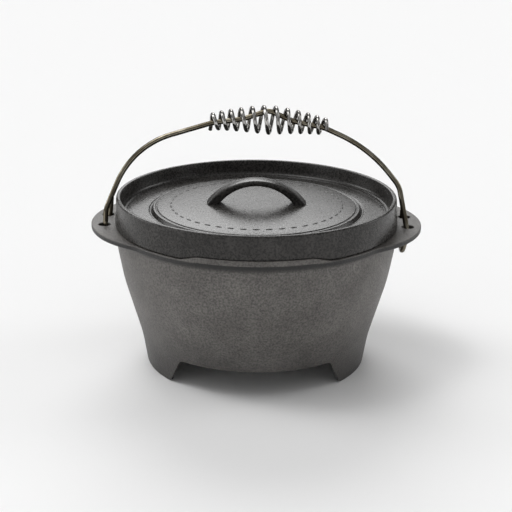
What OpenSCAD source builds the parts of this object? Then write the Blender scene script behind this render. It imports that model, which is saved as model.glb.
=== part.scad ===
// Camp dutch oven: a cast pot on two skirt feet, a cast lid with a strap loop,
// a bent wire bail caught in the ears by its hairpin ends, and a wound coil grip.
// +Z is up, +X runs through the ears, and the origin is on the ground under the pot's centre.

/* [Pot] */
// Outer radius of the wall at the rim
rim_r = 163.5; // [150:0.5:180]
// Outer radius of the wall where the bulge turns upright
belly_r = 156; // [140:0.5:172]
// Height of that turn
belly_z = 105; // [85:1:125]
// Outer radius of the wall where the feet begin
waist_r = 136; // [120:0.5:150]
// Height where the feet begin
waist_z = 36; // [28:1:50]
// Outer radius of the feet on the ground
foot_r = 130; // [115:0.5:145]
// Thickness of the bowl's wall
wall_t = 5; // [4:0.5:9]
// Thickness of the bowl's floor
floor_t = 5.5; // [4:0.5:10]
// Radius inside the bowl where the floor meets the wall
bowl_fillet = 25; // [8:1:40]

/* [Feet] */
// Height of the bowl's underside above the ground
under_z = 35; // [25:1:50]
// Thickness of the skirt that makes the feet
skirt_t = 6.5; // [5:0.5:12]
// Height of the arch between the feet
arch_h = 33; // [20:1:34]
// Width of the arch at the ground
arch_w = 193; // [150:1:215]
// How far each side of the arch leans in towards its top
arch_lean = 12; // [4:1:20]
// Radius in the top corners of the arch
arch_top_r = 5; // [2:0.5:9]
// Radius on the bottom corners of the feet
arch_toe_r = 4; // [1:0.5:8]

/* [Rim] */
// Height of the rim's seat above the ground
seat_z = 168; // [150:1:190]
// Thickness of the flange
flange_t = 6; // [4:0.5:9]
// How far the flange stands out from the wall
flange_out = 3.3; // [1.5:0.1:8]
// Height of the raised lands at front and back
land_h = 5.5; // [3:0.5:9]
// Width of the level top of a land
land_w = 124; // [80:1:160]
// Run of the ramp at each end of a land
land_ramp = 19; // [8:1:30]
// Radius where a ramp meets the level
ramp_r = 14; // [2:1:20]

/* [Ears] */
// How far an ear's tip reaches past the flange's edge
ear_reach = 26.2; // [22:0.2:36]
// Radius of an ear's rounded outline
ear_r = 115; // [70:1:130]
// Thickness of an ear
ear_t = 6; // [4:0.5:9]
// Diameter of the two holes in an ear
hole_d = 14; // [13:0.2:16]
// Distance between the two holes in an ear
hole_gap = 40; // [30:1:50]
// Distance from an ear's holes in to the lid's wall
hole_in = 10.9; // [9:0.1:14]

/* [Lid] */
// Gap between the lid and its seat
seat_gap = 0.4; // [0.3:0.1:1]
// How far the lid's wall is set in from the flange's edge
lid_in = 1.7; // [0.5:0.1:3]
// Height of the lid's wall
lid_h = 32; // [26:0.5:42]
// Thickness of the lid's wall
lid_wall = 5; // [4:0.5:8]
// Lean of the lid's wall over its height
lid_draft = 2; // [0.5:0.1:3]
// Thickness of the lid's plate
lid_t = 5; // [4:0.5:8]
// Depth of the recess from the rim to the plate
recess_h = 17; // [10:0.5:20]
// Radius of the raised round on the plate
plateau_r = 122; // [90:1:135]
// Height of the raised round at its edge
plateau_h = 3; // [1.5:0.5:5]
// Crown of the raised round at its middle
plateau_crown = 3.5; // [0.5:0.5:6]
// Width of the groove round the raised round
groove_w = 4; // [2:0.5:6]
// Depth of that groove
groove_h = 1.5; // [0.5:0.25:2.5]

/* [Lid handle] */
// Length of the strap loop over its feet
loop_len = 116; // [90:1:140]
// Height of the loop above the plate's raised round
loop_h = 28.5; // [22:0.5:40]
// Thickness of the strap at the crown
loop_t = 6.5; // [5:0.5:9]
// Length of each foot of the strap
loop_foot = 14.5; // [9:0.5:18]
// Width of the strap
loop_w = 21; // [14:0.5:30]

/* [Bail] */
// Diameter of the bail's wire
wire_d = 6; // [4:0.25:7]
// How far the strands stand in from the middles of the ears' holes
wire_in = 1.2; // [0:0.1:1.6]
// Inward lean of the left strand in its ear
left_lean = 0; // [0:0.5:3]
// How far the left knee lies below the lid's rim
left_knee_below = 26.5; // [20:0.5:27]
// Bend radius of the left knee
left_knee_r = 30; // [10:1:36]
// Inward lean of the left arm above its knee
left_arm_lean = 20.5; // [14:0.5:21]
// Height of the left shoulder's corner above the ears
left_shoulder_up = 83; // [76:0.5:88]
// Bend radius of the left shoulder
left_shoulder_r = 98; // [60:1:105]
// Inward lean of the right strand above its ear
right_lean = 12.6; // [8:0.1:13.5]
// How far the right knee lies above the lid's rim
right_knee_above = 14; // [8:0.5:18]
// Bend radius of the right knee
right_knee_r = 29; // [10:1:36]
// Inward lean of the right arm above its knee
right_arm_lean = 40.5; // [36:0.5:44]
// Height of the right shoulder's corner above the ears
right_shoulder_up = 91.5; // [88:0.5:94]
// Bend radius of the right shoulder
right_shoulder_r = 155; // [100:1:160]
// Inward lean of the right hairpin below its ear
right_pin_lean = 5; // [0:0.5:6]
// Inward lean of the hairpins' tails
tail_lean = 2; // [0:0.5:4]
// Height of the wire at the ends of the grip above the ears
grip_up = 113.5; // [100:0.5:130]
// Length of the wire between the bends beside the grip
grip_span = 130; // [110:1:150]
// How far the grip lies right of the middle
grip_shift = 8.7; // [0:0.1:12]
// Bend radius beside the grip
grip_bend = 60; // [20:1:80]
// Rise from the grip's ends to the foot of the hump
hump_foot_rise = 6; // [3:0.5:10]
// Width of the hump over its feet
hump_w = 58; // [44:1:70]
// Rise from the hump's feet to its top
hump_rise = 10.3; // [6:0.1:16]
// Bend radius at the hump's feet
hump_foot_r = 24; // [10:1:30]
// Bend radius over the hump
hump_r = 14; // [8:1:24]
// How far the hairpin's straight runs below the ears' mid-plane
hairpin_drop = 4; // [1:0.5:8]
// How much wider than its two holes a hairpin is bent
pin_spread = 1.3; // [0:0.1:1.6]
// Length of the hairpin's tail above the ears' mid-plane
tail_len = 23; // [14:1:40]
// How much thinner the wire is drawn in its bends
wire_draw = 0.1; // [0.05:0.05:0.3]
// Lean of the bail back onto its stop
bail_lean = 17; // [0:0.5:18]
// Sideways tilt of the bail in its loose ears
bail_tilt = 2; // [0:0.25:2.5]

/* [Coil grip] */
// Diameter of the coil's wire
coil_d = 4.6; // [3:0.1:5.5]
// Number of full curls
curls = 11; // [8:1:12]
// Length of the coil
coil_len = 134.5; // [120:0.5:145]
// Radius of the winding's middle line at the coil's ends
coil_end_r = 7.7; // [7.5:0.1:10]
// Radius of the winding's middle line at the coil's middle
coil_mid_r = 15.2; // [14:0.1:18]
// How full the swell of the coil is
coil_swell = 1.1; // [1:0.1:2]
// How far the coil's axis bows up at its middle
coil_bow = 5; // [3:0.1:6]
// Share by which the curls stand wider apart at the middle
coil_spread = 0.16; // [0:0.01:0.3]
// Gap between the coil and the hump that carries it
coil_gap = 0.3; // [0.2:0.05:0.6]

/* [Hidden] */
$fn = 160;
arc_steps = 8;
far = 400;
cut_past = 2;

// Rim and lid
flange_r = rim_r + flange_out;
rim_top = seat_z + land_h;
lid_r = flange_r - lid_in;
lid_z = seat_z + seat_gap;
lid_top = lid_z + lid_h;
plate_z = lid_top - recess_h;
plateau_z = plate_z + plateau_h;
crown_z = plateau_z + plateau_crown;
rim_w = 5;
rim_round = 2.4;
recess_fillet = 5;
recess_lean = 1.5;
under_fillet = 3;
plateau_round = 2;
groove_bevel = 1.5;

// Bowl
floor_z = under_z + floor_t;
neck_h = 22;
wall_turn_z = seat_z - neck_h;
waist_round = 120;
belly_round = 200;
neck_round = 100;
skirt_fillet = 8;
skirt_thin = 2;
toe_round = 2;
heel_round = 1;

// Ears and hairpins
ear_tip = flange_r + ear_reach;
hole_x = lid_r + hole_in;
ear_mid_z = seat_z - ear_t / 2;
bend_d = wire_d - wire_draw;
bend_lap = 0.5;
pin_r = 10;

// Lid handle
loop_half = loop_len / 2;
loop_gap_half = loop_half - loop_foot;
loop_gap_h = loop_h - loop_t;
loop_sink = 4;

// Coil
rings = 8;
sides = 6;
coil_tail = 5;
coil_steps = curls * rings + coil_tail;
coil_start = -45;
curl_top = 90;

// Outline with its corners rounded: each point is [x, y, radius], and a radius is held to its sides
function xy(p) = [p.x, p.y];
function unit(v) = v / norm(v);
function turn_of(a, b) = atan2(a.x * b.y - a.y * b.x, a * b);
function left_of(v) = [-v.y, v.x];
function room(p, q) = norm(xy(q) - xy(p)) * (q.z > 0 ? 0.5 : 1);
function corner(a, p, b) =
    let (din = unit(xy(p) - xy(a)), dout = unit(xy(b) - xy(p)), t = turn_of(din, dout))
    let (r = min(p.z, min(room(p, a), room(p, b)) / tan(abs(t) / 2)))
    let (start = xy(p) - din * r * tan(abs(t) / 2), c = start + left_of(din) * r * sign(t), arm = start - c)
    r == 0 || abs(t) < 0.01
        ? [xy(p)]
        : [for (i = [0 : arc_steps]) let (q = t * i / arc_steps)
            c + [arm.x * cos(q) - arm.y * sin(q), arm.x * sin(q) + arm.y * cos(q)]];
function rounded(p) = [for (i = [0 : len(p) - 1])
    each corner(p[(i + len(p) - 1) % len(p)], p[i], p[(i + 1) % len(p)])];

// Line of the rim's seat seen from the front, rising over the lands
function land_line(z) = [
    [-land_w / 2 - land_ramp, z, ramp_r],
    [-land_w / 2, z + land_h, ramp_r],
    [land_w / 2, z + land_h, ramp_r],
    [land_w / 2 + land_ramp, z, ramp_r]
];

module front_to_back() rotate([90, 0, 0]) linear_extrude(2 * far, center = true) children();
module above_seat(z) front_to_back()
    polygon(rounded(concat([[-far, z, 0]], land_line(z), [[far, z, 0], [far, far, 0], [-far, far, 0]])));
module below_seat(z) front_to_back()
    polygon(rounded(concat([[-far, z, 0]], land_line(z), [[far, z, 0], [far, -far, 0], [-far, -far, 0]])));

// Pot: bowl and skirt turned in one, flange and ears added, arches and seat cut
module bowl() {
    top = rim_top + cut_past;
    rotate_extrude() polygon(rounded([
        [foot_r - skirt_t, 0, heel_round],
        [foot_r, 0, toe_round],
        [waist_r, waist_z, waist_round],
        [belly_r, belly_z, belly_round],
        [rim_r, wall_turn_z, neck_round],
        [rim_r, top, 0],
        [rim_r - wall_t, top, 0],
        [rim_r - wall_t, wall_turn_z, neck_round],
        [belly_r - wall_t, belly_z, belly_round],
        [waist_r - wall_t, floor_z, bowl_fillet],
        [0, floor_z, 0],
        [0, under_z, 0],
        [foot_r - skirt_t + skirt_thin, under_z, skirt_fillet]
    ]));
}

module flange() {
    low = seat_z - flange_t;
    difference() {
        translate([0, 0, low]) difference() {
            cylinder(h = rim_top + cut_past - low, r = flange_r);
            translate([0, 0, -cut_past]) cylinder(h = far, r = rim_r - wall_t / 2);
        }
        below_seat(low);
    }
}

module ears() {
    difference() {
        translate([0, 0, seat_z - ear_t]) linear_extrude(ear_t)
            for (side = [-1, 1]) translate([side * (ear_tip - ear_r), 0]) circle(r = ear_r);
        cylinder(h = far, r = rim_r - wall_t / 2);
        for (side = [-1, 1], row = [-1, 1])
            translate([side * hole_x, row * hole_gap / 2, 0]) cylinder(h = far, d = hole_d);
    }
}

module arches() front_to_back() polygon(rounded([
    [-arch_w / 2 - arch_toe_r, -arch_toe_r, 0],
    [-arch_w / 2 - arch_toe_r, 0, 0],
    [-arch_w / 2, 0, arch_toe_r],
    [-arch_w / 2 + arch_lean, arch_h, arch_top_r],
    [arch_w / 2 - arch_lean, arch_h, arch_top_r],
    [arch_w / 2, 0, arch_toe_r],
    [arch_w / 2 + arch_toe_r, 0, 0],
    [arch_w / 2 + arch_toe_r, -arch_toe_r, 0]
]));

module pot() {
    color([0.21, 0.2, 0.19]) difference() {
        union() {
            bowl();
            flange();
            ears();
        }
        above_seat(seat_z);
        arches();
    }
}

// Lid: plate, wall and raised round turned in one, with the strap loop on top
module lid_plate() {
    inner_r = lid_r - lid_wall;
    rim_in = lid_r - lid_draft - rim_w;
    rotate_extrude() polygon(rounded([
        [0, plate_z - lid_t, 0],
        [inner_r, plate_z - lid_t, under_fillet],
        [inner_r, lid_z - cut_past, 0],
        [lid_r, lid_z - cut_past, 0],
        [lid_r - lid_draft, lid_top, rim_round],
        [rim_in, lid_top, rim_round],
        [rim_in - recess_lean, plate_z, recess_fillet],
        [plateau_r + groove_w, plate_z, 0],
        [plateau_r + groove_w - groove_bevel, plate_z - groove_h, 0],
        [plateau_r + groove_bevel, plate_z - groove_h, 0],
        [plateau_r - groove_bevel, plateau_z, plateau_round],
        [0, crown_z, 0]
    ]));
}

module strap_loop() {
    outer_r = (loop_half * loop_half + loop_h * loop_h) / (2 * loop_h);
    inner_r = (loop_gap_half * loop_gap_half + loop_gap_h * loop_gap_h) / (2 * loop_gap_h);
    base = crown_z - loop_sink;
    rotate([90, 0, 0]) linear_extrude(loop_w, center = true) intersection() {
        difference() {
            translate([0, crown_z + loop_h - outer_r]) circle(r = outer_r);
            translate([0, crown_z + loop_gap_h - inner_r]) circle(r = inner_r);
        }
        translate([-loop_len, base]) square([2 * loop_len, far]);
    }
}

module lid() {
    color([0.2, 0.19, 0.18]) union() {
        difference() {
            lid_plate();
            below_seat(lid_z);
        }
        strap_loop();
    }
}

// Bail: one wire bent along [x, z, bend radius] points in its own upright plane
hump_slope = atan(2 * hump_rise / hump_w);
hump_top = grip_up + hump_foot_rise + hump_rise;
lid_rise = lid_top - ear_mid_z;
strand_x = hole_x - wire_in;
pin_w = hole_gap + pin_spread;
function in_by(p, lean, up) = [p.x - sign(p.x) * tan(lean) * (up - p.y), up];
function low_end(x, lean) = [x - sign(x) * sin(lean) * -hairpin_drop, -cos(lean) * hairpin_drop, 0];
left_knee = in_by([-strand_x, 0], left_lean, lid_rise - left_knee_below);
left_shoulder = in_by(left_knee, left_arm_lean, left_shoulder_up);
right_knee = in_by([strand_x, 0], right_lean, lid_rise + right_knee_above);
right_shoulder = in_by(right_knee, right_arm_lean, right_shoulder_up);
bail_path = [
    low_end(-strand_x, left_lean),
    [left_knee.x, left_knee.y, left_knee_r],
    [left_shoulder.x, left_shoulder.y, left_shoulder_r],
    [grip_shift - grip_span / 2, grip_up, grip_bend],
    [grip_shift - hump_w / 2, grip_up + hump_foot_rise, hump_foot_r],
    [grip_shift, hump_top + hump_r * (1 / cos(hump_slope) - 1), hump_r],
    [grip_shift + hump_w / 2, grip_up + hump_foot_rise, hump_foot_r],
    [grip_shift + grip_span / 2, grip_up, grip_bend],
    [right_shoulder.x, right_shoulder.y, right_shoulder_r],
    [right_knee.x, right_knee.y, right_knee_r],
    [strand_x, 0, pin_r],
    low_end(strand_x, -right_pin_lean)
];

function heading(i) = unit(xy(bail_path[i + 1]) - xy(bail_path[i]));
function bend_turn(i) = i == 0 || i == len(bail_path) - 1 ? 0 : turn_of(heading(i - 1), heading(i));
function bend_run(i) = bail_path[i].z * tan(abs(bend_turn(i)) / 2);

module straight(i) {
    from = xy(bail_path[i]) + heading(i) * bend_run(i);
    to = xy(bail_path[i + 1]) - heading(i) * bend_run(i + 1);
    translate([from.x, 0, from.y]) rotate([0, atan2(heading(i).x, heading(i).y), 0])
        cylinder(h = norm(to - from), d = wire_d);
}

// Drawn wire turned through an angle, running a little way into the straights at both ends
module drawn(r, from, angle) {
    lap = bend_lap / r * 180 / PI;
    rotate([0, 0, from - lap]) rotate_extrude(angle = angle + 2 * lap)
        translate([r, 0]) circle(d = bend_d);
}

module bend(i) {
    r = bail_path[i].z;
    start = xy(bail_path[i]) - heading(i - 1) * bend_run(i);
    middle = start + left_of(heading(i - 1)) * r * sign(bend_turn(i));
    arm = start - middle;
    translate([middle.x, 0, middle.y]) rotate([90, 0, 0])
        drawn(r, atan2(arm.y, arm.x) + min(bend_turn(i), 0), abs(bend_turn(i)));
}

module hairpin(lean) {
    translate([strand_x, pin_spread / 2, 0]) rotate([0, -lean, 0]) translate([0, 0, -hairpin_drop]) {
        rotate([0, 90, 0]) drawn(pin_w / 2, -90, 180);
        translate([0, pin_w / 2, 0]) {
            sphere(d = wire_d);
            rotate([0, lean - tail_lean, 0]) cylinder(h = hairpin_drop + tail_len, d = wire_d);
        }
    }
}

module as_carried()
    translate([0, 0, ear_mid_z]) rotate([-bail_lean, 0, 0]) rotate([0, bail_tilt, 0]) children();

module bail() {
    color([0.32, 0.28, 0.2]) as_carried() union() {
        translate([0, -hole_gap / 2, 0]) {
            for (i = [0 : len(bail_path) - 2]) straight(i);
            for (i = [1 : len(bail_path) - 2]) bend(i);
        }
        hairpin(-right_pin_lean);
        mirror([1, 0, 0]) hairpin(left_lean);
    }
}

// Coil grip: one tube wound along a bowed axis, swelling at the middle
function coil_x(t) = coil_len * (t - 0.5 - coil_spread * sin(360 * t) / 360 * 180 / PI);
function coil_r(t) = coil_mid_r - (coil_mid_r - coil_end_r) * pow(abs(2 * coil_x(t) / coil_len), coil_swell);
function coil_drop(t) = coil_bow * pow(2 * coil_x(t) / coil_len, 2);
function coil_slope(t) = 8 * coil_bow * coil_x(t) / pow(coil_len, 2);

// The curl whose top comes nearest the hump's top rests on the wire there
ring_turn = 360 / rings;
first_top = (curl_top - coil_start) / ring_turn;
seat_t = (first_top + rings * round((coil_steps / 2 - first_top) / rings)) / coil_steps;
seat_x = coil_x(seat_t) + coil_r(seat_t) * coil_slope(seat_t);
seat_wire_z = hump_top - hump_r * (1 - cos(hump_slope))
    - (abs(seat_x) - hump_r * sin(hump_slope)) * tan(hump_slope);
seat_up = (wire_d / 2 + coil_d / 2 + coil_gap) / cos(hump_slope);
coil_mid_z = seat_wire_z + seat_up - coil_r(seat_t) + coil_drop(seat_t);
function coil_point(i) =
    let (t = i / coil_steps, a = coil_start + ring_turn * i, up = coil_r(t) * sin(a))
    [grip_shift + coil_x(t) + up * coil_slope(t), -hole_gap / 2 + coil_r(t) * cos(a),
        coil_mid_z - coil_drop(t) + up];
coil_wound = [for (i = [0 : coil_steps]) coil_point(i)];
coil_line = concat(
    [coil_wound[0] - unit(coil_wound[1] - coil_wound[0]) * coil_d],
    coil_wound,
    [coil_wound[coil_steps] + unit(coil_wound[coil_steps] - coil_wound[coil_steps - 1]) * coil_d]
);
coil_last = len(coil_line) - 1;
function coil_heading(i) = unit(coil_line[min(i + 1, coil_last)] - coil_line[max(i - 1, 0)]);
function coil_ring(i) =
    let (h = coil_heading(i), out = unit(cross([1, 0, 0], h)), up = cross(h, out))
    [for (k = [0 : sides - 1]) let (a = 360 * k / sides)
        coil_line[i] + (out * cos(a) + up * sin(a)) * coil_d / 2];
function band(i) = [for (k = [0 : sides - 1], half = [0, 1])
    let (a = i * sides + k, b = i * sides + (k + 1) % sides)
    half == 0 ? [a, b + sides, b] : [a, a + sides, b + sides]];
function cap(i, flip) = [for (k = [1 : sides - 2])
    flip ? [i * sides, i * sides + k + 1, i * sides + k] : [i * sides, i * sides + k, i * sides + k + 1]];

// Least gap between curls, taken between points more than half a curl apart
gap_skip = rings / 2 + 1;
coil_self_gap = min([for (i = [0 : coil_last - gap_skip], j = [i + gap_skip : coil_last])
    norm(coil_line[i] - coil_line[j])]) - coil_d;
echo(coil_self_gap = coil_self_gap);

module grip_coil() {
    color([0.62, 0.6, 0.57]) as_carried() polyhedron(
        points = [for (i = [0 : coil_last]) each coil_ring(i)],
        faces = concat(
            cap(0, false),
            [for (i = [0 : coil_last - 1]) each band(i)],
            cap(coil_last, true)
        )
    );
}

pot();
lid();
bail();
grip_coil();
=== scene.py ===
import math

import bmesh
import bpy
from mathutils import Matrix, Vector


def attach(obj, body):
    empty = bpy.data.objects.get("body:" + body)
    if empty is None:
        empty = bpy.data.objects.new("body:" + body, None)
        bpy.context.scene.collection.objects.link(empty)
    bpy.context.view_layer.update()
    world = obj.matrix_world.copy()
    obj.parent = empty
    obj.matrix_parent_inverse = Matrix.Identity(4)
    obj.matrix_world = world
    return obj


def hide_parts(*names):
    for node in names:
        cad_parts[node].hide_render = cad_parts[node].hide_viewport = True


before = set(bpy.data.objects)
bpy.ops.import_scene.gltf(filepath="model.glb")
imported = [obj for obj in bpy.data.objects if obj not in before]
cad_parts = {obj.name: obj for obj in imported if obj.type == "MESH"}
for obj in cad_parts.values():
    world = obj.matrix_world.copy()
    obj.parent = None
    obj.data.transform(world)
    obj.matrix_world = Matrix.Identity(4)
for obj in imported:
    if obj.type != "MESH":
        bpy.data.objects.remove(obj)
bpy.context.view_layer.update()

mm = 0.001  # every size below is in millimetres, every mesh in metres
scene = bpy.context.scene
scene.view_settings.view_transform = "Standard"


# Small helpers for outlines: a point is (x, y) or (x, y, bend radius)
def unit2(v):
    length = math.hypot(v[0], v[1])
    return (v[0] / length, v[1] / length)


def roundedLine(points, steps=8):
    line = [points[0][:2]]
    for before, here, after in zip(points, points[1:], points[2:]):
        radius = here[2] if len(here) > 2 else 0
        dIn = unit2((here[0] - before[0], here[1] - before[1]))
        dOut = unit2((after[0] - here[0], after[1] - here[1]))
        turn = math.atan2(dIn[0] * dOut[1] - dIn[1] * dOut[0], dIn[0] * dOut[0] + dIn[1] * dOut[1])
        if radius == 0 or abs(turn) < 1e-4:
            line.append(here[:2])
            continue
        run = radius * math.tan(abs(turn) / 2)
        side = math.copysign(1, turn)
        start = (here[0] - dIn[0] * run, here[1] - dIn[1] * run)
        middle = (start[0] - dIn[1] * radius * side, start[1] + dIn[0] * radius * side)
        arm = (start[0] - middle[0], start[1] - middle[1])
        for i in range(steps + 1):
            a = turn * i / steps
            line.append((middle[0] + arm[0] * math.cos(a) - arm[1] * math.sin(a),
                         middle[1] + arm[0] * math.sin(a) + arm[1] * math.cos(a)))
    line.append(points[-1][:2])
    return line


def spread(start, end, count):  # evenly spaced values, both ends kept
    return [start + (end - start) * i / (count - 1) for i in range(count)]


def radiusAt(line, z):  # radius of an outline that rises with z
    for (r0, z0), (r1, z1) in zip(line, line[1:]):
        if min(z0, z1) <= z <= max(z0, z1) and z1 != z0:
            return r0 + (r1 - r0) * (z - z0) / (z1 - z0)
    return line[0][0] if z < line[0][1] else line[-1][0]


def meshObject(name, verts, faces, material):
    mesh = bpy.data.meshes.new(name)
    mesh.from_pydata([(x * mm, y * mm, z * mm) for x, y, z in verts], [], faces)
    mesh.validate()
    obj = bpy.data.objects.new(name, mesh)
    scene.collection.objects.link(obj)
    if material:
        mesh.materials.append(material)
    return obj


def tidyMesh(obj, sharpAngle=50):  # close doubles, point faces outwards, shade smooth
    bm = bmesh.new()
    bm.from_mesh(obj.data)
    bmesh.ops.remove_doubles(bm, verts=bm.verts, dist=1e-6)
    bmesh.ops.recalc_face_normals(bm, faces=bm.faces)
    for face in bm.faces:
        face.smooth = True
    for edge in bm.edges:
        edge.smooth = not edge.is_manifold or edge.calc_face_angle(0) < math.radians(sharpAngle)
    bm.to_mesh(obj.data)
    bm.free()


def plainMesh(obj):  # result of the modifiers as a plain mesh
    evaluated = obj.evaluated_get(bpy.context.evaluated_depsgraph_get())
    mesh = bpy.data.meshes.new_from_object(evaluated)
    obj.modifiers.clear()
    old = obj.data
    obj.data = mesh
    bpy.data.meshes.remove(old)
    mesh.name = obj.name


def gridFaces(columns, rows, firstPole, lastPole):  # columns closed in a ring, a pole at each end
    faces = []
    for j in range(columns):
        k = (j + 1) % columns
        for i in range(rows - 1):
            faces.append((j * rows + i, k * rows + i, k * rows + i + 1, j * rows + i + 1))
        faces.append((firstPole, k * rows, j * rows))
        faces.append((lastPole, j * rows + rows - 1, k * rows + rows - 1))
    return faces


# Seat line shared by the pot's rim and the lid's lower edge
seat = {"z": 168, "landHeight": 5.5, "landWidth": 124, "landRamp": 19, "ease": 0.1}


def landRise(x):
    t = (seat["landWidth"] / 2 + seat["landRamp"] - abs(x)) / seat["landRamp"]
    e = seat["ease"]
    if t <= -e:
        return 0
    if t < e:
        return seat["landHeight"] * (t + e) ** 2 / (4 * e)
    if t < 1 - e:
        return seat["landHeight"] * t
    if t < 1 + e:
        return seat["landHeight"] * (1 - (1 + e - t) ** 2 / (4 * e))
    return seat["landHeight"]


# Materials
def nodeMaterial(name):
    mat = bpy.data.materials.new(name)
    mat.use_nodes = True
    tree = mat.node_tree
    tree.nodes.clear()
    out = tree.nodes.new("ShaderNodeOutputMaterial")
    shader = tree.nodes.new("ShaderNodeBsdfPrincipled")
    tree.links.new(shader.outputs["BSDF"], out.inputs["Surface"])
    coords = tree.nodes.new("ShaderNodeTexCoord")
    return mat, tree, shader, coords.outputs["Object"]


def noiseNode(tree, coords, scale, detail=4, rough=0.55, distort=0):
    node = tree.nodes.new("ShaderNodeTexNoise")
    node.inputs["Scale"].default_value = scale
    node.inputs["Detail"].default_value = detail
    node.inputs["Roughness"].default_value = rough
    node.inputs["Distortion"].default_value = distort
    tree.links.new(coords, node.inputs["Vector"])
    return node.outputs["Fac"]


def rampNode(tree, value, stops):
    node = tree.nodes.new("ShaderNodeValToRGB")
    ramp = node.color_ramp
    ramp.elements[0].position, ramp.elements[1].position = stops[0][0], stops[-1][0]
    for place, colour in stops[1:-1]:
        ramp.elements.new(place)
    for element, (place, colour) in zip(ramp.elements, stops):
        element.color = (*colour, 1)
    tree.links.new(value, node.inputs["Fac"])
    return node.outputs["Color"]


def rangeNode(tree, value, low, high, fromLow=0.3, fromHigh=0.7):
    node = tree.nodes.new("ShaderNodeMapRange")
    node.inputs["From Min"].default_value = fromLow
    node.inputs["From Max"].default_value = fromHigh
    node.inputs["To Min"].default_value = low
    node.inputs["To Max"].default_value = high
    tree.links.new(value, node.inputs["Value"])
    return node.outputs["Result"]


def mixColour(tree, a, b, factor, blend="MIX"):
    node = tree.nodes.new("ShaderNodeMix")
    node.data_type = "RGBA"
    node.blend_type = blend
    tree.links.new(a, node.inputs[6])
    tree.links.new(b, node.inputs[7])
    if hasattr(factor, "is_linked"):
        tree.links.new(factor, node.inputs[0])
    else:
        node.inputs[0].default_value = factor
    return node.outputs[2]


def bumpNode(tree, height, strength, distance, normal=None):
    node = tree.nodes.new("ShaderNodeBump")
    node.inputs["Strength"].default_value = strength
    node.inputs["Distance"].default_value = distance
    tree.links.new(height, node.inputs["Height"])
    if normal:
        tree.links.new(normal, node.inputs["Normal"])
    return node.outputs["Normal"]


def castIron(name, look):  # sand-cast skin: soft clouds, fine grain, a few pale specks
    mat, tree, shader, coords = nodeMaterial(name)
    clouds = noiseNode(tree, coords, look["cloudScale"], 5, 0.6, 0.4)
    grain = noiseNode(tree, coords, look["grainScale"], 3, 0.6)
    fine = noiseNode(tree, coords, look["grainScale"] * fineGrain["scale"], 2, 0.5)
    tone = rampNode(tree, clouds, [(0.3, look["dark"]), (0.55, look["middle"]), (0.75, look["pale"])])
    dim, bright = (1 - look["specks"],) * 3, (1 + look["specks"],) * 3
    specks = rampNode(tree, grain, [(0.36, dim), (0.5, (1, 1, 1)), (0.65, bright)])
    skin = mixColour(tree, tone, specks, 1.0, "MULTIPLY")
    if "paintedShadeBands" in look:  # painted shade by height: the colour's share darkens towards the ground and on the flange's and ears' edges and underside, where shade falls
        parts = tree.nodes.new("ShaderNodeSeparateXYZ")
        tree.links.new(coords, parts.inputs["Vector"])
        height = rangeNode(tree, parts.outputs["Z"], 0, 1, 0, look["bandTop"] * mm)
        paintedShade = rampNode(tree, height, [(at / look["bandTop"], (share,) * 3) for at, share in look["paintedShadeBands"]])
        skin = mixColour(tree, skin, paintedShade, 1.0, "MULTIPLY")
    tree.links.new(skin, shader.inputs["Base Color"])
    tree.links.new(rangeNode(tree, grain, *look["rough"]), shader.inputs["Roughness"])
    deep = look["grainDeep"] * mm
    soft = bumpNode(tree, grain, look["bump"], deep)
    crisp = bumpNode(tree, fine, look["bump"] * fineGrain["bump"], deep * fineGrain["deep"], soft)
    tree.links.new(crisp, shader.inputs["Normal"])
    shader.inputs["IOR"].default_value = look["ior"]
    return mat


fineGrain = {"scale": 3.1, "bump": 0.6, "deep": 0.25}  # the finer grain, against the coarser one
# The pot's height bands are painted shade: colour darkened at the feet, skirt and underside towards the ground, and on
# the flange's and ears' edges.
potIronLook = {"bandTop": 200, "paintedShadeBands": [(0, 0.3), (80, 1), (158.5, 1), (161.5, 0.3), (163.5, 0.08), (166.6, 0.08),
                                         (167.7, 0.9)],
               "cloudScale": 26, "grainScale": 480, "grainDeep": 1.2, "specks": 0.45, "bump": 0.7,
               "ior": 1.53, "rough": (0.42, 0.56),
               "dark": (0.08, 0.0735, 0.067), "middle": (0.112, 0.1045, 0.097), "pale": (0.144, 0.135, 0.125)}
lidIronLook = {"cloudScale": 30, "grainScale": 430, "grainDeep": 0.4, "specks": 0.65, "bump": 0.45,
               "ior": 1.38, "rough": (0.22, 0.34),
               "dark": (0.0207, 0.0193, 0.0178), "middle": (0.0298, 0.0279, 0.0259), "pale": (0.0415, 0.0391, 0.0369)}
potIron = castIron("potIron", potIronLook)
lidIron = castIron("lidIron", lidIronLook)


def wireSteel(name, look):  # drawn wire: bright metal with clouded plating
    mat, tree, shader, coords = nodeMaterial(name)
    clouds = noiseNode(tree, coords, look["cloudScale"], 4, 0.55, 0.6)
    scuffs = noiseNode(tree, coords, look["scuffScale"], 3, 0.6)
    tone = rampNode(tree, clouds, [(0.3, look["dark"]), (0.52, look["middle"]), (0.72, look["pale"])])
    tree.links.new(tone, shader.inputs["Base Color"])
    tree.links.new(rangeNode(tree, scuffs, *look["rough"]), shader.inputs["Roughness"])
    tree.links.new(bumpNode(tree, scuffs, look["bump"], look["scuffDeep"] * mm), shader.inputs["Normal"])
    shader.inputs["Metallic"].default_value = 1
    shader.inputs["Specular Tint"].default_value = (look["edge"],) * 3 + (1,)  # dims the wire's edges
    return mat


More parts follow.
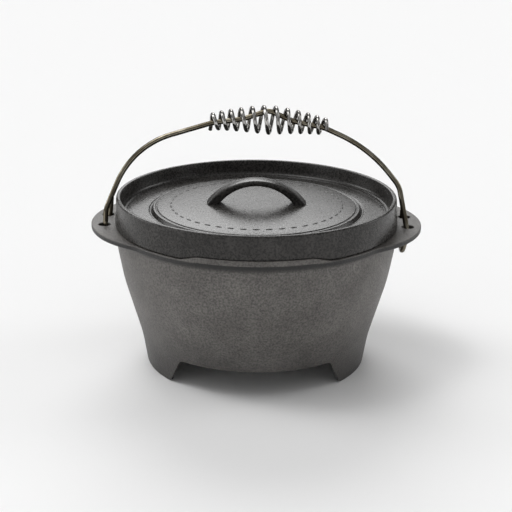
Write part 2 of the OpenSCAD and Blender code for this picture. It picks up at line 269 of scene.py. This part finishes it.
bailSteelLook = {"cloudScale": 45, "scuffScale": 500, "scuffDeep": 0.2, "bump": 0.03,
                 "rough": (0.08, 0.14), "edge": 0.3,
                 "dark": (0.1102, 0.0933, 0.0661), "middle": (0.2074, 0.1854, 0.14), "pale": (0.35, 0.3241, 0.2657)}
coilSteelLook = {"cloudScale": 60, "scuffScale": 600, "scuffDeep": 0.2, "bump": 0.02,
                 "rough": (0.09, 0.16), "edge": 0.3,
                 "dark": (0.2204, 0.2152, 0.2048), "middle": (0.3759, 0.3682, 0.3552), "pale": (0.5704, 0.5613, 0.5445)}
bailSteel = wireSteel("bailSteel", bailSteelLook)
coilSteel = wireSteel("coilSteel", coilSteelLook)
print("materials made")


# Pot: every column of the mesh runs from the underside's middle round the skirt, wall, rim and bowl
pot = {
    "outer": [(130, 0), (136, 36, 120), (156, 105, 200), (163.5, 146, 100), (163.5, 190)],
    "inner": [(158.5, 190), (158.5, 146, 100), (151, 105, 200), (131, 40.5, 25), (0, 40.5)],
    "underZ": 35, "skirtIn": [(123.5, 0), (125.5, 35, 8), (0, 35)],
    "arch": [(130, 0), (96.5, 0, 4), (84.5, 33, 5), (0, 33)], "archRadius": 135.5, "footColumns": 28, "archColumns": 40,
    "underRows": (30, 60, 90, 108), "wallFrom": 46, "wallRows": 30, "bowlFrom": 70, "bowlRows": (85, 55, 25),
    "lip": 1.7, "lipSteps": 4,
    "flangeRadius": 166.8, "flangeThick": 6, "flangeEdge": 1.1, "neckFillet": 1.6,
    "earMiddle": 78, "earRadius": 115, "earEdge": 2.2, "earTopEdge": 1.2, "earBlend": 2.5, "earEase": 6,
    "rimEdge": 1.0, "holeX": 176, "holeY": 20, "holeRadius": 7, "holeEdge": 0.8, "holeOver": 1.5, "holeTurns": 48,
}


def edgeRadius(angle):  # plan outline of the flange and ears, and how much of an ear is there
    c, s = math.cos(angle), math.sin(angle)
    ear = pot["earMiddle"] * c + math.sqrt(pot["earRadius"] ** 2 - (pot["earMiddle"] * s) ** 2)
    d, k = ear - pot["flangeRadius"], pot["earBlend"]
    if d >= k:
        return ear, min(1, d / pot["earEase"])
    if d <= -k:
        return pot["flangeRadius"], 0
    return pot["flangeRadius"] + (d + k) ** 2 / (4 * k), max(0, d / pot["earEase"])


def archSamples():  # points along the skirt's lower edge in one quarter, with the way into the metal
    line = roundedLine(pot["arch"], 7)
    dense = []
    footAngle = math.acos(line[1][0] / line[0][0])
    for a in spread(0, footAngle, pot["footColumns"])[:-1]:
        dense.append((line[0][0] * math.cos(a), 0))
    for (x0, z0), (x1, z1) in zip(line[1:-1], line[2:]):
        if x1 > 1:
            pieces = 12 if math.hypot(x1 - x0, z1 - z0) > 10 else 1
            for t in range(pieces):
                dense.append((x0 + (x1 - x0) * t / pieces, z0 + (z1 - z0) * t / pieces))
    topStart, radius = line[-2], pot["archRadius"]
    startAngle = math.acos(topStart[0] / radius)
    for a in spread(startAngle, math.pi / 2, pot["archColumns"]):
        dense.append((radius * math.cos(a) if a < math.pi / 2 - 1e-6 else 0, topStart[1]))
    samples = []
    for i, (x, z) in enumerate(dense):
        x0, z0 = dense[max(i - 1, 0)]
        x1, z1 = dense[min(i + 1, len(dense) - 1)]
        d = unit2((x1 - x0, z1 - z0))
        samples.append((x, z, d[1], -d[0]))
    return samples


def potColumn(x, z, nx, nz, outer, inner, skirt):
    # x and z lie on the arch; nx and nz point from the opening into the metal
    lip, steps = pot["lip"], pot["lipSteps"]
    rows = []

    def turned(angle, radius, pz):
        rows.append((radius * math.cos(angle), radius * math.sin(angle), pz))

    def angleAt(px, radius):  # under a foot the column stays at its angle, along the arch at its x
        return math.acos(max(-1, min(1, px / (radiusAt(outer, 0) if z == 0 else radius))))

    def put(px, pz, radius):
        turned(angleAt(px, radius), radius, pz)

    # underside and inner skirt
    sx, sz = x + nx * lip, z + nz * lip
    inAngle = angleAt(sx, radiusAt(skirt, sz))
    for r in pot["underRows"]:
        turned(inAngle, r, pot["underZ"])
    top = pot["underZ"]
    for t in spread(0, 1, 9)[:-1]:
        pz = top + (sz - top) * (1 - math.cos(t * math.pi / 2))
        turned(inAngle, radiusAt(skirt, pz), pz)
    # lip of the skirt, inner round then outer round
    for i in range(steps + 1):
        a = math.pi / 2 * i / steps
        d, e = lip * (1 - math.sin(a)), lip * (1 - math.cos(a))
        put(x + nx * d, z + nz * d, radiusAt(skirt, z + nz * d) + e)
    for i in range(steps + 1):
        a = math.pi / 2 * (1 - i / steps)
        d, e = lip * (1 - math.sin(a)), lip * (1 - math.cos(a))
        put(x + nx * d, z + nz * d, radiusAt(outer, z + nz * d) - e)
    # outer wall up to the flange
    angle = angleAt(sx, radiusAt(outer, sz))
    edge, earShare = edgeRadius(angle)
    fillet = pot["neckFillet"]
    wallR, bowlZ = pot["outer"][-1][0], pot["inner"][-1][1]
    underZ = seat["z"] - pot["flangeThick"]
    wallTop = underZ + landRise(wallR * math.cos(angle)) - fillet
    for pz in spread(sz, pot["wallFrom"], 6)[1:] + spread(pot["wallFrom"], wallTop, pot["wallRows"])[1:]:
        turned(angle, radiusAt(outer, pz), pz)
    # flange and ear: underside, rounded edge, top
    for a in (30, 60, 90):
        q = math.radians(a)
        r = wallR + fillet * (1 - math.cos(q))
        turned(angle, r, underZ + landRise(r * math.cos(angle)) - fillet * (1 - math.sin(q)))
    low = pot["flangeEdge"] + (pot["earEdge"] - pot["flangeEdge"]) * earShare
    high = pot["rimEdge"] + (pot["earTopEdge"] - pot["rimEdge"]) * earShare
    for r in spread(wallR + fillet, edge - low, 5)[1:-1]:
        turned(angle, r, underZ + landRise(r * math.cos(angle)))
    for i in range(6):
        q = math.pi / 2 * i / 5
        r = edge - low + low * math.sin(q)
        turned(angle, r, underZ + landRise(r * math.cos(angle)) + low * (1 - math.cos(q)))
    for i in range(5):
        q = math.pi / 2 * i / 4
        r = edge - high + high * math.cos(q)
        turned(angle, r, seat["z"] + landRise(r * math.cos(angle)) - high * (1 - math.sin(q)))
    inR = inner[0][0]
    for r in spread(edge - high, inR + pot["rimEdge"], 8)[1:-1]:
        turned(angle, r, seat["z"] + landRise(r * math.cos(angle)))
    for i in range(4):
        q = math.pi / 2 * i / 3
        r = inR + pot["rimEdge"] * (1 - math.sin(q))
        turned(angle, r, seat["z"] + landRise(r * math.cos(angle)) - pot["rimEdge"] * (1 - math.cos(q)))
    # bowl
    rimTop = seat["z"] + landRise(inR * math.cos(angle)) - pot["rimEdge"]
    for pz in spread(rimTop, pot["bowlFrom"], 14)[1:]:
        turned(angle, radiusAt(inner, pz), pz)
    for r, pz in inner:
        if pz < pot["bowlFrom"] - 1 and r > 1:
            turned(angle, r, pz)
    for r in pot["bowlRows"]:
        turned(angle, r, bowlZ)
    return rows


def buildPot():
    outer = roundedLine(pot["outer"], 10)
    inner = roundedLine(pot["inner"], 10)
    skirt = roundedLine(pot["skirtIn"], 10)[:-1]
    quarter = [potColumn(*sample, outer, inner, skirt) for sample in archSamples()]
    last = len(quarter) - 1
    columns = [(c, 1, 1) for c in quarter]
    columns += [(quarter[i], -1, 1) for i in range(last - 1, -1, -1)]
    columns += [(quarter[i], -1, -1) for i in range(1, last + 1)]
    columns += [(quarter[i], 1, -1) for i in range(last - 1, 0, -1)]
    rows = len(quarter[0])
    verts = [(x * sx, y * sy, z) for column, sx, sy in columns for x, y, z in column]
    verts += [(0, 0, pot["underZ"]), (0, 0, pot["inner"][-1][1])]
    faces = gridFaces(len(columns), rows, len(verts) - 2, len(verts) - 1)
    obj = meshObject("potCasting", verts, faces, potIron)
    tidyMesh(obj)
    return obj


def holeCutter():  # four drilled holes with softened edges
    top, low = seat["z"], seat["z"] - pot["flangeThick"]
    r, e, over = pot["holeRadius"], pot["holeEdge"], pot["holeOver"]
    line = [(r + e + over, top + over)]
    line += [(r + e * (1 - math.cos(q)), top - e + e * math.sin(q)) for q in spread(math.pi / 2, 0, 5)]
    line += [(r + e * (1 - math.cos(q)), low + e - e * math.sin(q)) for q in spread(0, math.pi / 2, 5)]
    line += [(r + e + over, low - over)]
    turns, rows, verts, faces = pot["holeTurns"], len(line), [], []
    for sx in (-1, 1):
        for sy in (-1, 1):
            base = len(verts)
            for j in range(turns):
                a = 2 * math.pi * j / turns
                for pr, pz in line:
                    verts.append((sx * pot["holeX"] + pr * math.cos(a), sy * pot["holeY"] + pr * math.sin(a), pz))
            for j in range(turns):
                here, there = base + j * rows, base + (j + 1) % turns * rows
                for i in range(rows - 1):
                    faces.append((here + i, there + i, there + i + 1, here + i + 1))
            faces.append([base + j * rows for j in range(turns)])
            faces.append([base + j * rows + rows - 1 for j in reversed(range(turns))])
    obj = meshObject("holeCutter", verts, faces, potIron)
    tidyMesh(obj, 30)
    return obj


potCasting = buildPot()
cutter = holeCutter()
cut = potCasting.modifiers.new("holes", "BOOLEAN")
cut.operation, cut.solver, cut.object = "DIFFERENCE", "EXACT", cutter
evened = potCasting.modifiers.new("evened", "WEIGHTED_NORMAL")
evened.mode, evened.weight, evened.keep_sharp = "FACE_AREA", 60, True
plainMesh(potCasting)
bpy.data.objects.remove(cutter)
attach(potCasting, "pot")
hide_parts("pot")
print("pot made,", len(potCasting.data.polygons), "faces")


# Lid: a turned plate whose lower edge follows the seat, with the strap loop grown out of it
lid = {
    "gap": 0.4, "radius": 165.1, "wall": 5, "topRadius": 163.1, "rimInner": 158.1, "top": 200.4,
    "wallFillet": 3, "lowInRound": 0.9, "lowRound": 1.8, "rimRound": 2, "rimInRound": 1.6,
    "plate": 183.4, "thick": 5, "recessFoot": 156.6, "recessFillet": 5, "ringFall": 1.5,
    "footBead": 151.4, "footBeadRise": 0.7, "grooveOut": 126, "grooveZ": 182.6,
    "plateau": 122, "step": 1.5, "plateauZ": 186.4, "crownZ": 189.9, "crownPower": 4, "beadInner": 118.4,
    "beadFall": 0.4, "turns": 288, "rowLength": 6, "crownRows": 22, "underRows": (40, 80, 120),
}


def crownAt(r):  # height of the raised round, nearly flat with a soft fall at its edge
    rise = lid["crownZ"] - lid["plateauZ"]
    return lid["plateauZ"] + rise * (1 - (r / (lid["plateau"] - lid["step"])) ** lid["crownPower"])


def buildLid():
    low, under = seat["z"] + lid["gap"], lid["plate"] - lid["thick"]
    inR, ring, step = lid["radius"] - lid["wall"], lid["plate"] - lid["ringFall"], lid["step"]
    foot, bead, rise = lid["footBead"], lid["beadInner"], lid["footBeadRise"]
    edgeZ = lid["plateauZ"]
    hollowZ = edgeZ - lid["beadFall"]
    line = roundedLine([
        (0, under), (inR, under, lid["wallFillet"]), (inR, low, lid["lowInRound"]),  # underside and lower edge
        (lid["radius"], low, lid["lowRound"]), (lid["topRadius"], lid["top"], lid["rimRound"]),  # wall and rim
        (lid["rimInner"], lid["top"], lid["rimInRound"]), (lid["recessFoot"], ring, lid["recessFillet"]),
        (foot, ring, 0.3), (foot - 0.6, ring + rise, 0.4),  # bead
        (foot - 1.8, ring + rise, 0.4), (foot - 2.4, ring, 0.3),
        (lid["grooveOut"], lid["plate"], 0.8), (lid["grooveOut"] - step, lid["grooveZ"], 0.6),  # groove
        (lid["plateau"] + step, lid["grooveZ"], 0.6), (lid["plateau"] - step, edgeZ, 1.2),
        (bead, edgeZ + 0.1, 0.5), (bead - 0.9, hollowZ, 0.4), (bead - 1.8, hollowZ, 0.4),  # edge of the raised round
        (bead - 2.7, crownAt(bead - 2.7), 0.5), (bead - 8, crownAt(bead - 8)),
    ], 7)
    line = line[1:]
    full = [(r, under) for r in lid["underRows"]]
    for (r0, z0), (r1, z1) in zip(line, line[1:]):  # extra rows on long stretches
        pieces = max(1, int(math.hypot(r1 - r0, z1 - z0) / lid["rowLength"]))
        for t in range(pieces):
            full.append((r0 + (r1 - r0) * t / pieces, z0 + (z1 - z0) * t / pieces))
    for r in spread(line[-1][0], lid["rowLength"], lid["crownRows"]):
        full.append((r, crownAt(r)))
    verts = []
    for j in range(lid["turns"]):
        a = 2 * math.pi * j / lid["turns"]
        c, s = math.cos(a), math.sin(a)
        for r, z in full:
            if z < under - 0.01:  # the wall's lower part is squeezed up over the lands
                z = z + landRise(r * c) * (under - z) / (under - low)
            verts.append((r * c, r * s, z))
    verts += [(0, 0, under), (0, 0, lid["crownZ"])]
    faces = gridFaces(lid["turns"], len(full), len(verts) - 2, len(verts) - 1)
    return verts, faces


loop = {"half": 58, "height": 28.5, "thick": 6.5, "foot": 14.5, "width": 21, "sink": 4, "edge": 2.4, "steps": 72,
        "cornerSteps": 5}


def buildLoop():  # strap between two arcs, its section a rectangle with rounded corners
    base = lid["crownZ"]
    gapHalf, gapHeight = loop["half"] - loop["foot"], loop["height"] - loop["thick"]
    outR = (loop["half"] ** 2 + loop["height"] ** 2) / (2 * loop["height"])
    inR = (gapHalf ** 2 + gapHeight ** 2) / (2 * gapHeight)
    outMid, inMid = base + loop["height"] - outR, base + gapHeight - inR
    floorZ = base - loop["sink"]
    outEnd = math.acos((floorZ - outMid) / outR)
    inEnd = math.acos((floorZ - inMid) / inR)
    verts, ring = [], 0
    for i in range(loop["steps"] + 1):
        t = 2 * i / loop["steps"] - 1
        top = (outR * math.sin(outEnd * t), outMid + outR * math.cos(outEnd * t))
        low = (inR * math.sin(inEnd * t), inMid + inR * math.cos(inEnd * t))
        n = unit2((top[0] - low[0], top[1] - low[1]))
        h = math.hypot(top[0] - low[0], top[1] - low[1]) / 2
        c = ((top[0] + low[0]) / 2, (top[1] + low[1]) / 2)
        w, e = loop["width"] / 2, loop["edge"]
        corners = [(w - e, h - e, 0), (-w + e, h - e, 90), (-w + e, -h + e, 180), (w - e, -h + e, 270)]
        section = []
        for y, v, turn in corners:
            for q in spread(turn, turn + 90, loop["cornerSteps"]):
                section.append((y + e * math.cos(math.radians(q)), v + e * math.sin(math.radians(q))))
        ring = len(section)
        for y, v in section:
            verts.append((c[0] + n[0] * v, y, c[1] + n[1] * v))
    faces = []
    for i in range(loop["steps"]):
        for k in range(ring):
            a, b = i * ring + k, i * ring + (k + 1) % ring
            faces.append((a, b, b + ring, a + ring))
    faces.append(list(range(ring)))
    faces.append([loop["steps"] * ring + k for k in reversed(range(ring))])
    return verts, faces


plateVerts, plateFaces = buildLid()
loopVerts, loopFaces = buildLoop()
shift = len(plateVerts)
lidCasting = meshObject("lidCasting", plateVerts + loopVerts,
                        plateFaces + [[i + shift for i in face] for face in loopFaces], lidIron)
tidyMesh(lidCasting)
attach(lidCasting, "lid")
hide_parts("lid")
print("lid made,", len(lidCasting.data.polygons), "faces")


# Geometry Nodes: a tube along a line of edges, for the bail and the coil
def socketIn(tree, name, kind, value=None):
    item = tree.interface.new_socket(name, in_out="INPUT", socket_type=kind)
    if value is not None:
        item.default_value = value
    return item


def tubeTree():
    tree = bpy.data.node_groups.new("wireAlongLine", "GeometryNodeTree")
    socketIn(tree, "Line", "NodeSocketGeometry")
    socketIn(tree, "Wire radius", "NodeSocketFloat", 0.003)
    socketIn(tree, "Sides", "NodeSocketInt", 16)
    socketIn(tree, "Finish", "NodeSocketMaterial")
    tree.interface.new_socket("Wire", in_out="OUTPUT", socket_type="NodeSocketGeometry")
    n, link = tree.nodes, tree.links.new
    start, end = n.new("NodeGroupInput"), n.new("NodeGroupOutput")
    path = n.new("GeometryNodeMeshToCurve")
    section = n.new("GeometryNodeCurvePrimitiveCircle")
    sweep = n.new("GeometryNodeCurveToMesh")
    smooth = n.new("GeometryNodeSetShadeSmooth")
    real = n.new("GeometryNodeRealizeInstances")
    finish = n.new("GeometryNodeSetMaterial")
    sweep.inputs["Fill Caps"].default_value = True
    link(start.outputs["Line"], path.inputs["Mesh"])
    link(start.outputs["Sides"], section.inputs["Resolution"])
    link(start.outputs["Wire radius"], section.inputs["Radius"])
    link(path.outputs["Curve"], sweep.inputs["Curve"])
    link(section.outputs["Curve"], sweep.inputs["Profile Curve"])
    link(sweep.outputs["Mesh"], smooth.inputs["Geometry"])
    link(smooth.outputs["Geometry"], real.inputs["Geometry"])
    link(real.outputs["Geometry"], finish.inputs["Geometry"])
    link(start.outputs["Finish"], finish.inputs["Material"])
    link(finish.outputs["Geometry"], end.inputs["Wire"])
    return tree


def nodeInputs(modifier, values):
    ids = {item.name: item.identifier for item in modifier.node_group.interface.items_tree if item.in_out == "INPUT"}
    for name, value in values.items():
        modifier[ids[name]] = value


wireTree = tubeTree()


def wirePiece(name, points, radius, sides, material):
    mesh = bpy.data.meshes.new(name)
    mesh.from_pydata([p * mm for p in points], [(i, i + 1) for i in range(len(points) - 1)], [])
    obj = bpy.data.objects.new(name, mesh)
    scene.collection.objects.link(obj)
    tube = obj.modifiers.new("wire", "NODES")
    tube.node_group = wireTree
    nodeInputs(tube, {"Wire radius": radius * mm, "Sides": sides, "Finish": material})
    plainMesh(obj)
    tidyMesh(obj, 60)
    return obj


# Bail: tail, hairpin, strand, arm, grip and back again, drawn in its own plane and then leant
bail = {
    "wire": 6, "holeGap": 40, "pinSpread": 1.3, "strandX": 174.8, "drop": 4, "tail": 23, "tailLean": 2,
    "pinLean": 5, "pinRadius": 10,
    "leftKnee": (-174.8, 8.9, 30), "leftArmLean": 20.5, "leftShoulder": (83, 98),
    "rightLean": 12.6, "rightKnee": (49.4, 29), "rightArmLean": 40.5, "rightShoulder": (91.5, 155),
    "gripShift": 8.7, "gripUp": 113.5, "gripSpan": 130, "gripBend": 60,
    "humpWidth": 58, "humpFootRise": 6, "humpRise": 10.3, "humpFootRadius": 24, "humpRadius": 14,
    "lean": 17, "tilt": 2, "pivotZ": 165, "sides": 18, "bendSteps": 14, "pinSteps": 29, "tailSteps": 6,
}


def tanDeg(a):
    return math.tan(math.radians(a))


def asCarried(p):
    turn = Matrix.Rotation(math.radians(-bail["lean"]), 3, "X") @ Matrix.Rotation(math.radians(bail["tilt"]), 3, "Y")
    return turn @ Vector(p) + Vector((0, 0, bail["pivotZ"]))


humpSlope = math.atan(2 * bail["humpRise"] / bail["humpWidth"])
humpTop = bail["gripUp"] + bail["humpFootRise"] + bail["humpRise"]


def bailPath():
    b, x = bail, bail["strandX"]
    shift, halfHump, halfGrip = b["gripShift"], b["humpWidth"] / 2, b["gripSpan"] / 2
    leftX = b["leftKnee"][0] + tanDeg(b["leftArmLean"]) * (b["leftShoulder"][0] - b["leftKnee"][1])
    kneeX = x - tanDeg(b["rightLean"]) * b["rightKnee"][0]
    rightX = kneeX - tanDeg(b["rightArmLean"]) * (b["rightShoulder"][0] - b["rightKnee"][0])
    pin = math.radians(b["pinLean"])
    humpFoot = b["gripUp"] + b["humpFootRise"]
    line = roundedLine([
        (-x, -b["drop"]), b["leftKnee"], (leftX, *b["leftShoulder"]),
        (shift - halfGrip, b["gripUp"], b["gripBend"]), (shift - halfHump, humpFoot, b["humpFootRadius"]),
        (shift, humpTop + b["humpRadius"] * (1 / math.cos(humpSlope) - 1), b["humpRadius"]),
        (shift + halfHump, humpFoot, b["humpFootRadius"]), (shift + halfGrip, b["gripUp"], b["gripBend"]),
        (rightX, *b["rightShoulder"]), (kneeX, *b["rightKnee"]), (x, 0, b["pinRadius"]),
        (x - math.sin(pin) * b["drop"], -math.cos(pin) * b["drop"]),
    ], b["bendSteps"])
    half = b["holeGap"] / 2

    def hairpin(side, lean):  # from the strand's foot round below the ear and up the tail
        a = math.radians(lean)
        foot = Vector((side * (x + math.sin(a) * b["drop"]), 0, -math.cos(a) * b["drop"]))
        down = Vector((side * math.sin(a), 0, -math.cos(a)))
        bow = half + b["pinSpread"] / 2
        points = [foot + Vector((0, bow - half - bow * math.cos(q), 0)) + down * bow * math.sin(q)
                  for q in spread(0, math.pi, b["pinSteps"])]
        t = math.radians(b["tailLean"])
        up = Vector((-side * math.sin(t), 0, math.cos(t)))
        steps = b["tailSteps"]
        return points + [points[-1] + up * (b["drop"] + b["tail"]) * i / steps for i in range(1, steps + 1)]

    left = hairpin(-1, 0)
    right = hairpin(1, -b["pinLean"])
    middle = [Vector((px, -half, pz)) for px, pz in line]
    return [asCarried(p) for p in left[::-1] + middle[1:-1] + right]


bailWire = wirePiece("bailWire", bailPath(), bail["wire"] / 2, bail["sides"], bailSteel)
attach(bailWire, "bail")
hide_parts("bail")
print("bail made,", len(bailWire.data.polygons), "faces")


# Coil grip: wound along a bowed line, swelling at the middle, its middle curl resting on the hump
coil = {"wire": 4.6, "curls": 11, "length": 134.5, "endRadius": 7.7, "midRadius": 15.2, "swell": 1.1, "bow": 5,
        "spread": 0.16, "gap": 0.3, "start": -45, "tailShare": 0.625, "perCurl": 28, "sides": 12}
coilTurns = coil["curls"] + coil["tailShare"]


def coilX(t):
    return coil["length"] * (t - 0.5 - coil["spread"] * math.sin(2 * math.pi * t) / (2 * math.pi))


def coilRadius(t):
    share = abs(2 * coilX(t) / coil["length"]) ** coil["swell"]
    return coil["midRadius"] - (coil["midRadius"] - coil["endRadius"]) * share


def coilDrop(t):
    return coil["bow"] * (2 * coilX(t) / coil["length"]) ** 2


def coilSlope(t):
    return 8 * coil["bow"] * coilX(t) / coil["length"] ** 2


def coilPath():
    firstTop = (90 - coil["start"]) / 360
    seatT = (firstTop + round(coilTurns / 2 - firstTop)) / coilTurns
    seatX = coilX(seatT) + coilRadius(seatT) * coilSlope(seatT)
    seatWire = (humpTop - bail["humpRadius"] * (1 - math.cos(humpSlope))
                - (abs(seatX) - bail["humpRadius"] * math.sin(humpSlope)) * math.tan(humpSlope))
    seatUp = (bail["wire"] / 2 + coil["wire"] / 2 + coil["gap"]) / math.cos(humpSlope)
    middleZ = seatWire + seatUp - coilRadius(seatT) + coilDrop(seatT)
    steps = round(coilTurns * coil["perCurl"])
    points = []
    for i in range(steps + 1):
        t = i / steps
        a = math.radians(coil["start"] + 360 * coilTurns * t)
        r, up = coilRadius(t), coilRadius(t) * math.sin(a)
        points.append(Vector((bail["gripShift"] + coilX(t) + up * coilSlope(t), -bail["holeGap"] / 2 + r * math.cos(a),
                              middleZ - coilDrop(t) + up)))
    first = points[0] - (points[1] - points[0]).normalized() * coil["wire"]
    last = points[-1] + (points[-1] - points[-2]).normalized() * coil["wire"]
    return [asCarried(p) for p in [first] + points + [last]]


gripCoil = wirePiece("gripCoil", coilPath(), coil["wire"] / 2, coil["sides"], coilSteel)
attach(gripCoil, "bail")
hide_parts("grip_coil")
print("coil made,", len(gripCoil.data.polygons), "faces")


# Ring of short raised dashes on the lid, by Geometry Nodes
dashes = {"count": 44, "ring": 100, "length": 8, "width": 2.6, "height": 0.7,
          "segments": 16, "rings": 8, "roundSteps": 176}


def dashTree():
    tree = bpy.data.node_groups.new("dashRing", "GeometryNodeTree")
    socketIn(tree, "Plate", "NodeSocketGeometry")
    socketIn(tree, "Count", "NodeSocketInt", 44)
    socketIn(tree, "Ring radius", "NodeSocketFloat", 0.1)
    socketIn(tree, "Ring height", "NodeSocketFloat", 0.19)
    socketIn(tree, "Dash size", "NodeSocketVector", (0.004, 0.001, 0.001))
    socketIn(tree, "Finish", "NodeSocketMaterial")
    tree.interface.new_socket("Dashes", in_out="OUTPUT", socket_type="NodeSocketGeometry")
    n, link = tree.nodes, tree.links.new
    start, end = n.new("NodeGroupInput"), n.new("NodeGroupOutput")
    circle = n.new("GeometryNodeCurvePrimitiveCircle")
    lift = n.new("ShaderNodeCombineXYZ")
    raised = n.new("GeometryNodeTransform")
    points = n.new("GeometryNodeCurveToPoints")
    bead = n.new("GeometryNodeMeshUVSphere")
    squeeze = n.new("GeometryNodeTransform")
    place = n.new("GeometryNodeInstanceOnPoints")
    real = n.new("GeometryNodeRealizeInstances")
    smooth = n.new("GeometryNodeSetShadeSmooth")
    finish = n.new("GeometryNodeSetMaterial")
    points.mode = "COUNT"
    bead.inputs["Segments"].default_value = dashes["segments"]
    bead.inputs["Rings"].default_value = dashes["rings"]
    bead.inputs["Radius"].default_value = 1
    circle.inputs["Resolution"].default_value = dashes["roundSteps"]
    link(start.outputs["Ring radius"], circle.inputs["Radius"])
    link(start.outputs["Ring height"], lift.inputs["Z"])
    link(circle.outputs["Curve"], raised.inputs["Geometry"])
    link(lift.outputs["Vector"], raised.inputs["Translation"])
    link(raised.outputs["Geometry"], points.inputs["Curve"])
    link(start.outputs["Count"], points.inputs["Count"])
    link(bead.outputs["Mesh"], squeeze.inputs["Geometry"])
    link(start.outputs["Dash size"], squeeze.inputs["Scale"])
    link(points.outputs["Points"], place.inputs["Points"])
    link(points.outputs["Rotation"], place.inputs["Rotation"])
    link(squeeze.outputs["Geometry"], place.inputs["Instance"])
    link(place.outputs["Instances"], real.inputs["Geometry"])
    link(real.outputs["Geometry"], smooth.inputs["Geometry"])
    link(smooth.outputs["Geometry"], finish.inputs["Geometry"])
    link(start.outputs["Finish"], finish.inputs["Material"])
    link(finish.outputs["Geometry"], end.inputs["Dashes"])
    return tree


def buildDashes():
    obj = meshObject("lidDashes", [(0, 0, 0)], [], None)
    ring = obj.modifiers.new("dashes", "NODES")
    ring.node_group = dashTree()
    size = (dashes["width"] / 2 * mm, dashes["height"] * mm, dashes["length"] / 2 * mm)
    nodeInputs(ring, {"Count": dashes["count"], "Ring radius": dashes["ring"] * mm,
                      "Ring height": crownAt(dashes["ring"]) * mm, "Dash size": size, "Finish": lidIron})
    plainMesh(obj)
    return obj


lidDashes = buildDashes()
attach(lidDashes, "lid")
print("dashes made,", len(lidDashes.data.polygons), "faces")


# Floor, light and camera
studio = {
    "floorSize": 14, "floor": 0.9, "base": 0.062,  # floor's side in metres, its grey, light of the whole tent
    "panels": [  # direction, half angles where a panel is full and where it ends, strength
        ((-0.42, 0, 0.9), 13, 23, 1.867),
        ((-0.42, 0, 0.9), 5, 9, 6.457),
        ((0, 0.1, 1), 20, 62, 0.26),
        ((-0.08, 0.8, 0.595), 11, 24, 4.9),
        ((0, -0.6, 0.8), 15, 52, 0.363),
        ((0, 0, -1), 93, 99, 0.648),
        ((-0.86, 0.3, 0.36), 7, 16, 5.022),
        ((0.86, 0.3, 0.36), 7, 16, 3.587),
        ((-0.85, -0.45, 0.2), 10, 40, 0.363),
        ((0.85, -0.45, 0.2), 10, 40, 0.177),
        ((-0.9, -0.44, 0.12), 4, 9, 3.587),
        ((0.9, -0.44, 0.12), 4, 9, 2.87),
    ],
}


def buildFloor():
    mat, tree, shader, coords = nodeMaterial("paleFloor")
    shader.inputs["Base Color"].default_value = (studio["floor"],) * 3 + (1,)
    shader.inputs["Roughness"].default_value = 0.9
    shader.inputs["Specular IOR Level"].default_value = 0  # dull paper
    half = studio["floorSize"] / 2
    mesh = bpy.data.meshes.new("paleFloor")
    mesh.from_pydata([(-half, -half, 0), (half, -half, 0), (half, half, 0), (-half, half, 0)], [], [(0, 1, 2, 3)])
    floor = bpy.data.objects.new("paleFloor", mesh)
    mesh.materials.append(mat)
    scene.collection.objects.link(floor)


def buildWorld():  # a dim tent with soft panels above, behind and at the sides, and a pale ring at the horizon
    world = bpy.data.worlds.new("lightTent")
    scene.world = world
    world.use_nodes = True
    tree = world.node_tree
    tree.nodes.clear()
    link = tree.links.new
    out, tent = tree.nodes.new("ShaderNodeOutputWorld"), tree.nodes.new("ShaderNodeBackground")
    coords = tree.nodes.new("ShaderNodeTexCoord")
    total = None
    for direction, full, ends, strength in studio["panels"]:
        dot = tree.nodes.new("ShaderNodeVectorMath")
        dot.operation = "DOT_PRODUCT"
        dot.inputs[1].default_value = Vector(direction).normalized()
        link(coords.outputs["Generated"], dot.inputs[0])
        panel = tree.nodes.new("ShaderNodeMapRange")
        panel.interpolation_type = "SMOOTHSTEP"
        panel.inputs["From Min"].default_value = math.cos(math.radians(ends))
        panel.inputs["From Max"].default_value = math.cos(math.radians(full))
        panel.inputs["To Max"].default_value = strength
        link(dot.outputs["Value"], panel.inputs["Value"])
        add = tree.nodes.new("ShaderNodeMath")
        add.inputs[1].default_value = studio["base"]
        if total:
            link(total, add.inputs[1])
        link(panel.outputs["Result"], add.inputs[0])
        total = add.outputs["Value"]
    link(total, tent.inputs["Strength"])
    tent.inputs["Color"].default_value = (1, 1, 1, 1)
    link(tent.outputs["Background"], out.inputs["Surface"])


eye = {"place": (0, -1.4144, 0.6023), "down": 0.3262, "roll": 0.009, "lens": 88.45, "sensor": 36}  # turns in radians


def buildCamera():
    data = bpy.data.cameras.new("photoCamera")
    data.lens, data.sensor_width, data.sensor_fit = eye["lens"], eye["sensor"], "HORIZONTAL"
    camera = bpy.data.objects.new("photoCamera", data)
    turn = Matrix.Rotation(math.pi / 2 - eye["down"], 4, "X") @ Matrix.Rotation(eye["roll"], 4, "Z")
    camera.matrix_world = Matrix.Translation(eye["place"]) @ turn
    scene.collection.objects.link(camera)
    scene.camera = camera


buildFloor()
buildWorld()
buildCamera()
print("stage set")
